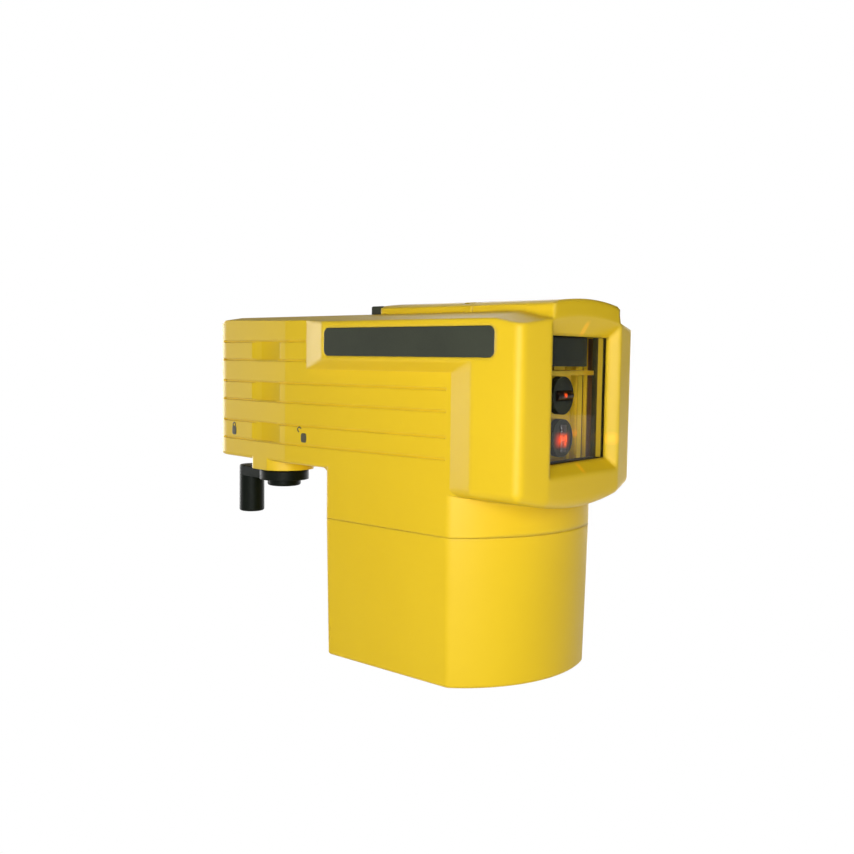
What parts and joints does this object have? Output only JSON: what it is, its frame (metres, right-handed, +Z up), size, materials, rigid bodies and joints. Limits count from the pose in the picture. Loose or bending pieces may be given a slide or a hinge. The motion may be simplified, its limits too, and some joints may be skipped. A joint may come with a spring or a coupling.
{
  "type": "cross line laser level",
  "caption": "Self-levelling cross line laser that clamps to an upright tube: hooded window with a hung pendulum, clamp arm with a cam lever, pull-off battery cup.",
  "frame": {"origin": "middle of the flat base under the battery cup", "axes": "+X out of the window, +Z up, the clamped tube stands behind at -X"},
  "size_m": [0.1594, 0.07, 0.1272],
  "materials": {
    "housing_yellow": "fine moulded texture, slightly glossy",
    "trim_black": "fine matt texture",
    "lever_black": "satin moulded",
    "inner_black": "matt moulded",
    "pad_rubber": "matt",
    "screw_steel": "zinc plated",
    "shaft_steel": "turned",
    "spring_steel": "bright strip",
    "bronze": "turned bronze",
    "pendulum_brass": "milled brass",
    "module_black": "black anodised look",
    "copper": "turned copper",
    "magnet": "nickel plated",
    "pane_clear": "clear flat pane",
    "rod_glass": "clear rod, lit red",
    "board_green": "solder mask",
    "board_part": "moulded packages",
    "contact_metal": "nickel plated strip",
    "cell_jacket": "printed sleeve left bare"
  },
  "bodies": {
    "housing": {"main_housing": "housing_yellow", "top_cover": "housing_yellow", "top_cover_screws": "screw_steel", "side_strip_right": "trim_black", "side_strip_left": "trim_black", "window_pane": "pane_clear", "window_frame": "inner_black", "window_frame_screws": "screw_steel", "circuit_board": "board_green", "board_screws": "screw_steel", "board_parts": "board_part", "slide_switch": "board_part", "pole_guide": "inner_black", "guide_screws": "screw_steel", "shoe_springs": "spring_steel", "lever_bushing": "bronze", "pendulum_hanger": "inner_black", "hanger_screws": "screw_steel", "pitch_bearings": "shaft_steel", "magnet_keeper": "shaft_steel", "damping_magnets": "magnet", "base_plate": "inner_black", "base_plate_screws": "screw_steel", "upper_contacts": "contact_metal"},
    "lever": {"clamp_lever": "lever_black", "hub_cap": "lever_black", "lever_screw": "screw_steel", "clamp_shaft": "shaft_steel", "clamp_cam": "shaft_steel", "retaining_ring": "spring_steel"},
    "shoe": {"clamp_shoe": "inner_black", "shoe_pad": "pad_rubber"},
    "gimbal": {"gimbal_yoke": "shaft_steel"},
    "pendulum": {"pendulum_frame": "pendulum_brass", "roll_bushings": "bronze", "laser_module_upper": "module_black", "laser_module_lower": "module_black", "lens_holders": "inner_black", "rod_lens_upper": "rod_glass", "rod_lens_lower": "rod_glass", "damping_disc": "copper", "disc_screw": "screw_steel", "balance_screws": "shaft_steel"},
    "switch": {"switch_knob": "trim_black"},
    "cup": {"battery_cup": "housing_yellow", "cell_holder": "inner_black", "lower_contacts": "contact_metal", "battery_cell_1": "cell_jacket", "battery_cell_2": "cell_jacket", "battery_cell_3": "cell_jacket", "latch_spring": "spring_steel"},
    "latch": {"cup_latch": "trim_black"}
  },
  "joints": [
    {"name": "lever_turn", "type": "hinge", "parent": "housing", "child": "lever", "pos_m": [-0.07495, -0.01772, 0.0619], "axis": [0, 0, 1], "range_deg": [0, 150]},
    {"name": "shoe_slide", "type": "slide", "parent": "housing", "child": "shoe", "axis": [-0.7485, -0.6632, 0], "range_m": [0, 0.0016], "deforming": ["shoe_springs"]},
    {"name": "gimbal_pitch", "type": "hinge", "parent": "housing", "child": "gimbal", "pos_m": [0.033, 0, 0.11], "axis": [0, 1, 0], "range_deg": [-3, 3]},
    {"name": "pendulum_roll", "type": "hinge", "parent": "gimbal", "child": "pendulum", "pos_m": [0.033, 0, 0.11], "axis": [1, 0, 0], "range_deg": [-3, 3]},
    {"name": "switch_slide", "type": "slide", "parent": "housing", "child": "switch", "axis": [0, 1, 0], "range_m": [0, 0.006]},
    {"name": "cup_pull", "type": "slide", "parent": "housing", "child": "cup", "axis": [0, 0, -1], "range_m": [0, 0.06]},
    {"name": "latch_press", "type": "slide", "parent": "cup", "child": "latch", "axis": [1, 0, 0], "range_m": [0, 0.0016], "stiffness_N_per_m": 900, "springref_m": -0.0006, "deforming": ["latch_spring"]}
  ],
  "couplings": [
    {"joint": "shoe_slide", "follows": "lever_turn", "m_per_rad": 0.0006112}
  ]
}
